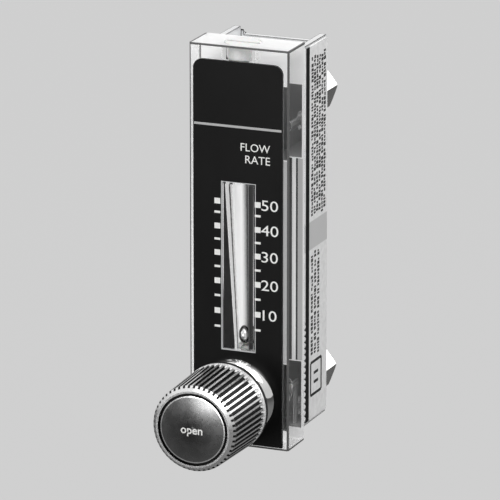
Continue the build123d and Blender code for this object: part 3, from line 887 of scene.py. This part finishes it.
@dataclass(frozen=True)
class LabelFilm:
    """Printed polyester film: pale, with a black band along its front edge."""

    # Y of the film's front edge, and height of the block's foot
    front_y: float
    bottom_z: float
    name: str = "printed_polyester_film"
    colour: str = "#EAEAEA"
    shade: str = "#DCDCDC"
    plain: str = "#C2C2C2"
    roughness: float = 0.5
    gloss: float = 0.15
    cloud_mm: float = 1.6
    relief_mm: float = 0.003
    # heights of the unprinted zone above the foot
    plain_heights: Span = (56.5, 65.0)
    plain_softness: float = 0.3
    band: str = "#030303"
    band_start: float = 0.3
    band_width: float = 3.2
    # the band's front edge is notched up to this height above the foot
    notched_height: float = 35.0
    notched_softness: float = 2.0
    tooth_pitch: float = 1.9
    tooth_depth: float = 0.35

    def make(self) -> Material:
        """Makes the material.

        Returns:
            The material.
        """
        material, tree, point, _, y, z = blank(self.name)
        notched_top = self.bottom_z + self.notched_height
        notched = between(tree, z, -FAR, notched_top, self.notched_softness)
        reach = add(tree, "Math.MULTIPLY", notched, self.tooth_depth)
        moved = add(tree, "Math.MULTIPLY_ADD", wave_mm(tree, z, self.tooth_pitch), reach, y)
        band = combined(
            tree, "MULTIPLY",
            between(tree, moved, self.front_y + self.band_start, FAR),
            between(tree, y, -FAR, self.front_y + self.band_width),
        )
        cloud = grain(tree, point, self.cloud_mm)
        white = add(tree, "Mix.RGBA", cloud, self.colour, self.shade)
        plain_z = (self.bottom_z + height for height in self.plain_heights)
        bare = between(tree, z, *plain_z, self.plain_softness)
        film = add(tree, "Mix.RGBA", bare, white, self.plain)
        add(tree, "OutputMaterial", lit(tree, cloud, self.relief_mm, {
            "Base Color": add(tree, "Mix.RGBA", band, film, self.band),
            "Roughness": self.roughness,
            "Specular IOR Level": self.gloss,
        }))
        return material


def put(name: str, data: Any) -> bpy.types.Object:
    """Adds an object that holds some data to the scene."""
    holder = bpy.data.objects.new(name, data)
    bpy.context.scene.collection.objects.link(holder)
    return holder


def keep_piece(source: Mesh | BMesh, name: str, material: Material, ride: Ride) -> None:
    """Makes a piece of a mesh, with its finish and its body.

    Args:
        source: mesh in metres.
        name: the piece's name.
        material: its finish.
        ride: body that it moves with.
    """
    mesh = source
    if isinstance(source, BMesh):
        mesh = bpy.data.meshes.new(name)
        source.to_mesh(mesh)
        source.free()
    mesh.name = name
    mesh.materials.clear()
    mesh.materials.append(material)
    piece = put(name, mesh)
    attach(piece, ride.value)
    log.info("added %s", name)


def rounded_bar(builder: BMesh, size: Span, corner: float, thickness: float, place: Matrix) -> None:
    """Adds a flat bar with rounded corners to a mesh, its face toward local +Z.

    Args:
        builder: mesh that takes the bar.
        size: width and height, along local X and Y.
        corner: radius of the corners.
        thickness: size along local Z.
        place: where the bar's middle goes, in millimetres.
    """
    corner_steps = 3
    outline = []
    for quarter in range(4):
        sign_x = 1 if quarter in (0, 3) else -1
        sign_y = 1 if quarter in (0, 1) else -1
        for step in range(corner_steps + 1):
            turn = math.pi / 2 * (quarter + step / corner_steps)
            x = sign_x * (size[0] / 2 - corner) + corner * math.cos(turn)
            y = sign_y * (size[1] / 2 - corner) + corner * math.sin(turn)
            outline.append((x, y))
    low = [builder.verts.new(place @ Vector((x, y, 0)) * MM) for x, y in outline]
    high = [builder.verts.new(place @ Vector((x, y, thickness)) * MM) for x, y in outline]
    builder.faces.new(list(reversed(low)))
    builder.faces.new(high)
    for number in range(len(outline)):
        follower = (number + 1) % len(outline)
        builder.faces.new((low[number], low[follower], high[follower], high[number]))


def lettering(text: str, height: float, thickness: float, boldness: float = 0.0) -> Mesh:
    """Makes flat characters of a given height, centred, facing local +Z.

    Args:
        text: plain characters.
        height: height of the tallest character in millimetres.
        thickness: thickness in millimetres.
        boldness: growth of each stroke, as a share of the letter size.

    Returns:
        The mesh, in millimetres.
    """
    curve = bpy.data.curves.new("lettering", "FONT")
    curve.body = text
    curve.offset = boldness
    # any depth will do here, as the thickness is set below
    curve.extrude = 0.01
    curve.resolution_u = LETTER_STEPS
    holder = put("lettering", curve)
    bpy.context.view_layer.update()
    depsgraph = bpy.context.evaluated_depsgraph_get()
    mesh = bpy.data.meshes.new_from_object(holder.evaluated_get(depsgraph))
    bpy.data.objects.remove(holder)
    bpy.data.curves.remove(curve)
    xs = [vertex.co.x for vertex in mesh.vertices]
    ys = [vertex.co.y for vertex in mesh.vertices]
    scale = height / (max(ys) - min(ys))
    middle = Vector(((max(xs) + min(xs)) / 2, (max(ys) + min(ys)) / 2, 0))
    for vertex in mesh.vertices:
        off = vertex.co - middle
        vertex.co = Vector((off.x * scale, off.y * scale, thickness if off.z > 0 else 0))
    return mesh


def facing_front(x: float, y: float, z: float) -> Matrix:
    """Gives the place of a flat mark on a face toward -Y, with its top upward."""
    turn = Matrix(((1, 0, 0), (0, 0, -1), (0, 1, 0))).to_4x4()
    return Matrix.Translation((x, y, z)) @ turn


def facing_right(x: float, y: float, z: float) -> Matrix:
    """Gives the place of a flat mark on a face toward +X, with its top upward."""
    turn = Matrix(((0, 0, 1), (1, 0, 0), (0, 1, 0))).to_4x4()
    return Matrix.Translation((x, y, z)) @ turn


@dataclass
class ScalePlate:
    """Black plate with its printed scale, words and dividing line."""

    white_ink: Material
    grey_ink: Material
    ink_thickness: float = 0.03
    ink_lift: float = 0.005
    # X of the ticks' ends, left and right of the window
    tick_spans: tuple[Span, Span] = ((-7.3, -5.45), (5.4, 7.25))
    tick_corner: float = 0.08
    major_height: float = 1.7
    minor_height: float = 0.68
    majors: tuple[int, ...] = (10, 20, 30, 40, 50)
    minors: tuple[int, ...] = (5, 15, 25, 35, 45)
    # height of a reading above the foot: the scale closes up toward its top
    scale_start: float = 31.57
    scale_step: float = 0.99
    scale_squeeze: float = 0.00262
    top_minor_lift: float = 0.35
    numeral_height: float = 3.2
    numeral_width: float = 1.24
    numeral_x: float = 10.12
    word_height: float = 2.35
    word_right_x: float = 10.2
    # the words and their heights above the foot
    words: tuple[tuple[str, float], ...] = (("FLOW", 91.5), ("RATE", 87.9))
    divider_height: float = 97.35
    divider_thickness: float = 0.7
    divider_margin: float = 0.25
    divider_corner: float = 0.1

    def __post_init__(self) -> None:
        """Reads the plate's and the block's places from the frame."""
        self.low, self.high = box_mm("scale_plate")
        self.bottom_z = box_mm("meter_body")[0].z
        self.ink_y = self.low.y - self.ink_lift

    def reading_z(self, reading: int) -> float:
        """Gives the height of a reading.

        Args:
            reading: value on the scale.

        Returns:
            Its Z in millimetres.
        """
        lift = self.top_minor_lift if reading == self.minors[-1] else 0.0
        height = self.scale_start + self.scale_step * reading - self.scale_squeeze * reading ** 2
        return self.bottom_z + height + lift

    def ticks(self) -> None:
        """Prints the ticks on both sides of the window."""
        builder = bmesh.new()
        for reading in self.majors + self.minors:
            tall = self.major_height if reading in self.majors else self.minor_height
            for start, end in self.tick_spans:
                place = facing_front((start + end) / 2, self.ink_y, self.reading_z(reading))
                size = (end - start, tall)
                rounded_bar(builder, size, self.tick_corner, self.ink_thickness, place)
        self.keep(builder, "scale_ticks", self.white_ink)

    def divider(self) -> None:
        """Prints the line that parts the plate's blank head from its scale."""
        builder = bmesh.new()
        width = self.high.x - self.low.x - 2 * self.divider_margin
        place = facing_front(0, self.ink_y, self.bottom_z + self.divider_height)
        size = (width, self.divider_thickness)
        rounded_bar(builder, size, self.divider_corner, self.ink_thickness, place)
        self.keep(builder, "plate_divider", self.grey_ink)

    def numerals(self) -> None:
        """Prints the plain numbers beside the major ticks."""
        for reading in self.majors:
            mesh = lettering(str(reading), self.numeral_height, self.ink_thickness)
            mesh.transform(Matrix.Scale(self.numeral_width, 4, (1, 0, 0)))
            self.lay(mesh, self.numeral_x, self.reading_z(reading))
            self.keep(mesh, f"numeral_{reading}", self.white_ink)

    def head_words(self) -> None:
        """Prints the two plain words above the window, lined up on their right."""
        for word, height in self.words:
            mesh = lettering(word, self.word_height, self.ink_thickness)
            half = max(vertex.co.x for vertex in mesh.vertices)
            self.lay(mesh, self.word_right_x - half, self.bottom_z + height)
            self.keep(mesh, f"word_{word.lower()}", self.white_ink)

    def lay(self, mesh: Mesh, x: float, z: float) -> None:
        """Moves a mesh in millimetres to its place on the plate, in metres."""
        mesh.transform(Matrix.Scale(MM, 4) @ facing_front(x, self.ink_y, z))

    def keep(self, source: Mesh | BMesh, name: str, ink: Material) -> None:
        """Keeps a printed piece on the plate."""
        keep_piece(source, name, ink, Ride.METER)

    def build(self) -> None:
        """Builds all of the plate's print."""
        self.ticks()
        self.numerals()
        self.head_words()
        self.divider()


@dataclass
class KnobMark:
    """The plain word printed on the knob's domed cap."""

    word: str = "open"
    height: float = 2.5
    thickness: float = 0.008
    boldness: float = 0.018
    drop: float = 0.6
    cap_radius: float = 10.1
    dome_height: float = 0.9

    def build(self, ink: Material, axis: Span) -> None:
        """Prints the word on the dome.

        Args:
            ink: ink of the word.
            axis: X and Z of the knob's axis.
        """
        crown_y = box_mm("knob_cap")[0].y
        sphere = (self.cap_radius ** 2 + self.dome_height ** 2) / (2 * self.dome_height)
        mesh = lettering(self.word, self.height, self.thickness, self.boldness)
        for vertex in mesh.vertices:
            x = vertex.co.x
            z = vertex.co.y - self.drop
            fall = sphere - math.sqrt(sphere ** 2 - x * x - z * z)
            # the ink ends at the crown, where the object's box ends
            y = max(crown_y + fall - vertex.co.z, crown_y)
            vertex.co = Vector((axis[0] + x, y, axis[1] + z)) * MM
        keep_piece(mesh, "knob_word", ink, Ride.KNOB)


@dataclass
class SideLabel:
    """Small print on the side film, which reads up the flange: bars and gaps for letters."""

    letter_height: float = 1.6
    letter_width: Span = (0.5, 1.1)
    # a letter is one of these shares of the full height, and drifts off the line's middle
    letter_shares: tuple[float, ...] = (0.62, 0.8, 1.0, 1.0)
    letter_drift: float = 0.5
    letter_gap: float = 0.3
    letter_corner: float = 0.08
    word_gap: float = 0.7
    word_lengths: tuple[int, int] = (2, 9)
    first_gap: float = 1.2
    column_pitch: float = 1.95
    thickness: float = 0.02
    ink_lift: float = 0.003
    print_front: float = 4.6
    # heights above the foot of the two blocks of print, their numbers of lines and line spacing
    blocks: tuple[tuple[Span, int, float], ...] = (((66.0, 115.0), 6, 1.0), ((23.0, 56.0), 3, 1.3))
    frame_block: Span = (11.3, 21.4)
    frame_width: float = 8.4
    frame_line: float = 0.9
    # two short bars inside the frame, as shares of its height and width
    frame_bars: Span = (0.36, 0.64)
    frame_bar_width: float = 0.42
    seed: int = 11

    def __post_init__(self) -> None:
        """Reads the film's and the block's places from the frame."""
        low, high = box_mm("side_label")
        self.front_y, self.face_x = low.y + self.print_front, high.x + self.ink_lift
        self.bottom_z = box_mm("meter_body")[0].z
        self.builder = bmesh.new()

    def letter(self, y: float, z: float, height: float, width: float) -> None:
        """Adds one bar of print.

        Args:
            y: middle of the bar toward the rear.
            z: middle of the bar upward.
            height: the letter's height, along Y.
            width: the letter's width, along Z.
        """
        place = facing_right(self.face_x, y, z)
        rounded_bar(self.builder, (height, width), self.letter_corner, self.thickness, place)

    def column(self, y: float, heights: Span, chance: random.Random) -> None:
        """Adds one line of print that runs up the flange.

        Args:
            y: middle of the line toward the rear.
            heights: heights between which the line runs.
            chance: seeded source of word and letter sizes.
        """
        z = self.bottom_z + heights[0] + chance.uniform(0.0, self.first_gap)
        top = self.bottom_z + heights[1]
        while z < top - self.letter_width[1]:
            for _ in range(chance.randint(*self.word_lengths)):
                width = chance.uniform(*self.letter_width)
                if z + width > top:
                    break
                height = self.letter_height * chance.choice(self.letter_shares)
                drift = chance.uniform(-self.letter_drift, self.letter_drift)
                shift = drift * (self.letter_height - height)
                self.letter(y + shift, z + width / 2, height, width)
                z += width + self.letter_gap
            z += self.word_gap

    def framed_mark(self) -> None:
        """Adds the plain frame with two bars at the label's foot."""
        middle_y = self.front_y + self.frame_width / 2
        bottom, top = (self.bottom_z + height for height in self.frame_block)
        for z in (bottom, top):
            self.letter(middle_y, z, self.frame_width, self.frame_line)
        for side_y in (self.front_y, self.front_y + self.frame_width):
            self.letter(side_y, (bottom + top) / 2, self.frame_line, top - bottom)
        for share in self.frame_bars:
            z = bottom + share * (top - bottom)
            width = self.frame_width * self.frame_bar_width
            self.letter(middle_y, z, width, self.frame_line)

    def build(self, ink: Material) -> None:
        """Prints the label.

        Args:
            ink: ink of the bars.
        """
        chance = random.Random(self.seed)
        first_y = self.front_y + self.letter_height / 2
        for heights, lines, spacing in self.blocks:
            for number in range(lines):
                y = first_y + self.column_pitch * spacing * number
                self.column(y, heights, chance)
        self.framed_mark()
        keep_piece(self.builder, "label_print", ink, Ride.METER)


@dataclass
class PortThread:
    """Pipe thread inside a port: one helical ridge on the wall of the bore."""

    node: str
    wall_radius: float = 4.3
    ridge: float = 0.42
    pitch: float = 0.94
    # half widths of the ridge at its foot and at its crest, as shares of the pitch
    foot_share: float = 0.42
    crest_share: float = 0.06
    start: float = 0.9
    length: float = 8.5
    steps: int = 36

    def build(self, metal: Material) -> None:
        """Builds the ridge.

        Args:
            metal: finish of the adapter.
        """
        low, high = box_mm(self.node)
        centre_z = (low.z + high.z) / 2
        builder = bmesh.new()
        count = int(self.length / self.pitch * self.steps)
        rows = []
        for number in range(count + 1):
            turn = 2 * math.pi * number / self.steps
            y = high.y - self.start - self.pitch * number / self.steps
            # the ridge rises over its first turn and sinks over its last
            fade = min(1.0, number / self.steps, (count - number) / self.steps)
            crest_radius = self.wall_radius - self.ridge * fade
            profile = (
                (self.wall_radius, -self.foot_share),
                (crest_radius, -self.crest_share),
                (crest_radius, self.crest_share),
                (self.wall_radius, self.foot_share),
            )
            row = []
            for radius, share in profile:
                x, z = radius * math.cos(turn), centre_z + radius * math.sin(turn)
                row.append(builder.verts.new(Vector((x, y + share * self.pitch, z)) * MM))
            rows.append(row)
        for row, follower in zip(rows, rows[1:]):
            for side in range(len(row) - 1):
                corners = (row[side], row[side + 1], follower[side + 1], follower[side])
                builder.faces.new(corners)
        keep_piece(builder, f"{self.node}_thread", metal, Ride.METER)


@dataclass
class Dressing:
    """Finishes of the carried-over solids."""

    block: Block
    knob_shape: KnobShape
    steel_nodes: tuple[str, ...] = (
        "frame_screws", "passage_plug", "float_stop", "valve_bonnet", "stem", "needle",
        "knob_set_screw",
    )
    rubber_nodes: tuple[str, ...] = (
        "inlet_o_ring", "outlet_o_ring", "plug_o_ring", "stem_o_ring", "bonnet_o_ring",
    )
    acetal_nodes: tuple[str, ...] = ("float_seat", "top_plug", "valve_seat")
    brass_nodes: tuple[str, ...] = ("inlet_adapter", "outlet_adapter")

    def finishes(self) -> dict[str, Material]:
        """Makes the finish of each node.

        Returns:
            Node names and their materials.
        """
        label_y = box_mm("side_label")[0].y
        # rolled sheet, bright anodised: pale and half dull, with faint lines that run up it
        frame_metal = DrawnMetal(
            "bright_anodised_aluminium", "#ECECEC", "#E0E1E2",
            roughness=(0.34, 0.46), line_mm=(0.25, 0.25, 6.0), metal_share=0.45,
        )
        # drawn hexagon bar, nickel plated: a darker, sharper mirror
        brass = DrawnMetal(
            "nickel_plated_brass", "#C2C2C0", "#B4B4B2",
            roughness=(0.21, 0.33), line_mm=(0.25, 5.0, 0.25),
        )
        # nearly black, with a soft sheen
        rubber = Moulded("nitrile_rubber", "#171717", "#1F1F1F", roughness=0.55, grain_mm=0.4)
        # white and waxy, as light goes a little way in
        acetal = Moulded(
            "white_acetal", "#E2E2E1", "#D8D8D7", roughness=0.38, grain_mm=0.8, subsurface=0.1
        )
        worn_by = (
            (ClearAcrylic(self.block), ("meter_body",)),
            (SatinEnamel(self.block), ("scale_plate",)),
            (frame_metal, ("rear_frame",)),
            (PolishedSteel(), self.steel_nodes),
            (LabelFilm(label_y, self.block.bottom_z), ("side_label",)),
            (brass, self.brass_nodes),
            (rubber, self.rubber_nodes),
            (acetal, self.acetal_nodes),
            (MirrorBall(), ("float_ball",)),
            (TurnedKnob(self.block, self.knob_shape), ("knob",)),
            (SpunCap(self.block), ("knob_cap",)),
        )
        finishes = {}
        for finish, nodes in worn_by:
            finishes.update(dict.fromkeys(nodes, finish.make()))
        return finishes

    def dress(self) -> dict[str, Material]:
        """Puts each node's finish on it.

        Returns:
            Node names and their materials.
        """
        finishes = self.finishes()
        for name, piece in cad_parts.items():
            for material_slot in piece.material_slots:
                material_slot.material = finishes[name]
            log.info("%s wears %s", name, finishes[name].name)
        return finishes


@dataclass(frozen=True)
class Lamp:
    """One soft square lamp that points at the object."""

    name: str
    azimuth: float
    elevation: float
    distance: float
    size: float
    power: float


@dataclass
class Studio:
    """Plain backdrop, floor, soft lamps and the camera of the photograph."""

    backdrop: str = "#D1D1D1"
    # a little paler, as its shaded share darkens it to the backdrop
    floor_plain: str = "#D5D5D5"
    floor_colour: str = "#707070"
    floor_drop: float = 160.0
    floor_half_width: float = 3000.0
    floor_plain_share: float = 0.93
    target: Point = (0.36, -22.0, 8.5)
    azimuth: float = 22.32
    elevation: float = 15.88
    distance: float = 1642.0
    focal_pixels: float = 5583.0
    image_pixels: float = 500.0
    sensor_width: float = 36.0
    clip_end: float = 100.0
    aim_right: float = -1.65
    aim_up: float = -3.04
    ambient: float = 0.5
    # the backdrop is this many times paler overhead, and gets so between these heights of 1
    overhead: float = 1.5
    overhead_heights: Span = (0.25, 0.9)
    # azimuth and elevation in degrees, distance and size in millimetres, power in watts
    lamps: tuple[Lamp, ...] = (
        Lamp("key_lamp", 55.0, 48.0, 700.0, 460.0, 3.4),
        Lamp("front_lamp", -10.0, 0.0, 900.0, 240.0, 1.7),
        Lamp("fill_lamp", -60.0, 20.0, 900.0, 500.0, 1.0),
        Lamp("top_lamp", 10.0, 84.0, 700.0, 420.0, 1.05),
        Lamp("rear_lamp", 159.0, 20.0, 800.0, 420.0, 1.8),
    )

    def directions(self, azimuth: float, elevation: float) -> tuple[Vector, Vector, Vector]:
        """Gives the directions toward the viewer, to the viewer's right and upward.

        Args:
            azimuth: degrees round the object, from the front toward +X.
            elevation: degrees above the horizon.

        Returns:
            Three unit vectors.
        """
        turn, rise = math.radians(azimuth), math.radians(elevation)
        flat = math.cos(rise)
        back = Vector((math.sin(turn) * flat, -math.cos(turn) * flat, math.sin(rise)))
        right = Vector((math.cos(turn), math.sin(turn), 0))
        return back, right, back.cross(right)

    def add_camera(self) -> None:
        """Places the camera where the photograph was taken from."""
        back, right, up = self.directions(self.azimuth, self.elevation)
        aim = Vector(self.target) + right * self.aim_right + up * self.aim_up
        data = bpy.data.cameras.new("camera")
        data.sensor_width = self.sensor_width
        data.sensor_fit = "HORIZONTAL"
        data.lens = self.focal_pixels / self.image_pixels * data.sensor_width
        data.clip_end = self.clip_end
        camera = put("camera", data)
        camera.matrix_world = Matrix((
            (right.x, up.x, back.x, 0),
            (right.y, up.y, back.y, 0),
            (right.z, up.z, back.z, 0),
            (0, 0, 0, 1),
        ))
        camera.location = (aim + back * self.distance) * MM
        bpy.context.scene.camera = camera

    def add_lamps(self) -> None:
        """Hangs the lamps round the object."""
        for lamp in self.lamps:
            back = self.directions(lamp.azimuth, lamp.elevation)[0]
            data = bpy.data.lights.new(lamp.name, "AREA")
            data.shape = "SQUARE"
            data.size = lamp.size * MM
            data.energy = lamp.power
            holder = put(lamp.name, data)
            holder.rotation_euler = back.to_track_quat("Z", "Y").to_euler()
            holder.location = (Vector(self.target) + back * lamp.distance) * MM
            holder.visible_camera = False

    def add_world(self) -> None:
        """Makes a plain grey world that lights evenly and shows the backdrop, paler overhead."""
        world = bpy.data.worlds.new("studio")
        world.use_nodes = True
        tree = world.node_tree
        tree.nodes.clear()
        toward = add(tree, "TexCoord").node.outputs["Generated"]
        height = add(tree, "SeparateXYZ", toward).node.outputs["Z"]
        level = add(tree, "MapRange", height, *self.overhead_heights, 1.0, self.overhead)
        light = add(tree, "Background", "#FFFFFF", self.ambient)
        shown = add(tree, "Background", self.backdrop, level)
        share = seen_by(tree, "Camera", "Transmission", "Glossy")
        add(tree, "OutputWorld", add(tree, "MixShader", share, light, shown))
        bpy.context.scene.world = world

    def add_floor(self) -> None:
        """Lays a pale floor well below the object, which hangs on its panel.

        The eye sees it mostly as plain as the backdrop, with a share of its real shading, so it
        keeps a soft shadow.
        """
        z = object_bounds()[0][2] - self.floor_drop * MM
        reach = self.floor_half_width * MM
        mesh = bpy.data.meshes.new("floor")
        corners = [(-reach, -reach, z), (reach, -reach, z), (reach, reach, z), (-reach, reach, z)]
        mesh.from_pydata(corners, [], [(0, 1, 2, 3)])
        material, tree, *_ = blank("pale_floor")
        matt = add(tree, "BsdfDiffuse", self.floor_colour)
        plain_colour = add(tree, "Emission", self.floor_plain, 1.0)
        seen = seen_by(tree, "Camera", "Transmission")
        share = add(tree, "Math.MULTIPLY", seen, self.floor_plain_share)
        add(tree, "OutputMaterial", add(tree, "MixShader", share, matt, plain_colour))
        mesh.materials.append(material)
        put("floor", mesh)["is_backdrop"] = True

    def build(self) -> None:
        """Sets up the backdrop, floor, lamps and camera."""
        self.add_camera()
        self.add_world()
        self.add_floor()
        self.add_lamps()
        bpy.context.scene.view_settings.view_transform = "Standard"


def plain(box: Any) -> list[list[float]]:
    """Turns a box's corners into plain lists of numbers."""
    return [[float(value) for value in corner] for corner in box]


def main() -> None:
    """Builds the studio, the finishes and the print."""
    logging.basicConfig(level=logging.INFO, format="%(message)s")
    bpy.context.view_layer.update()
    Studio().build()
    block = Block()
    dressing = Dressing(block, KnobShape())
    finishes = dressing.dress()
    white_ink = PrintedInk("white_screen_ink", "#F4F4F2", "#E6E6E4").make()
    grey_ink = PrintedInk("grey_screen_ink", "#B9B9B9", "#ABABAB").make()
    dark_ink = PrintedInk("dark_label_ink", "#1C1C1C", "#303030").make()
    ScalePlate(white_ink, grey_ink).build()
    KnobMark().build(white_ink, block.valve_axis)
    SideLabel().build(dark_ink)
    for node in dressing.brass_nodes:
        PortThread(node).build(finishes[node])


if __name__ == "__main__":
    main()
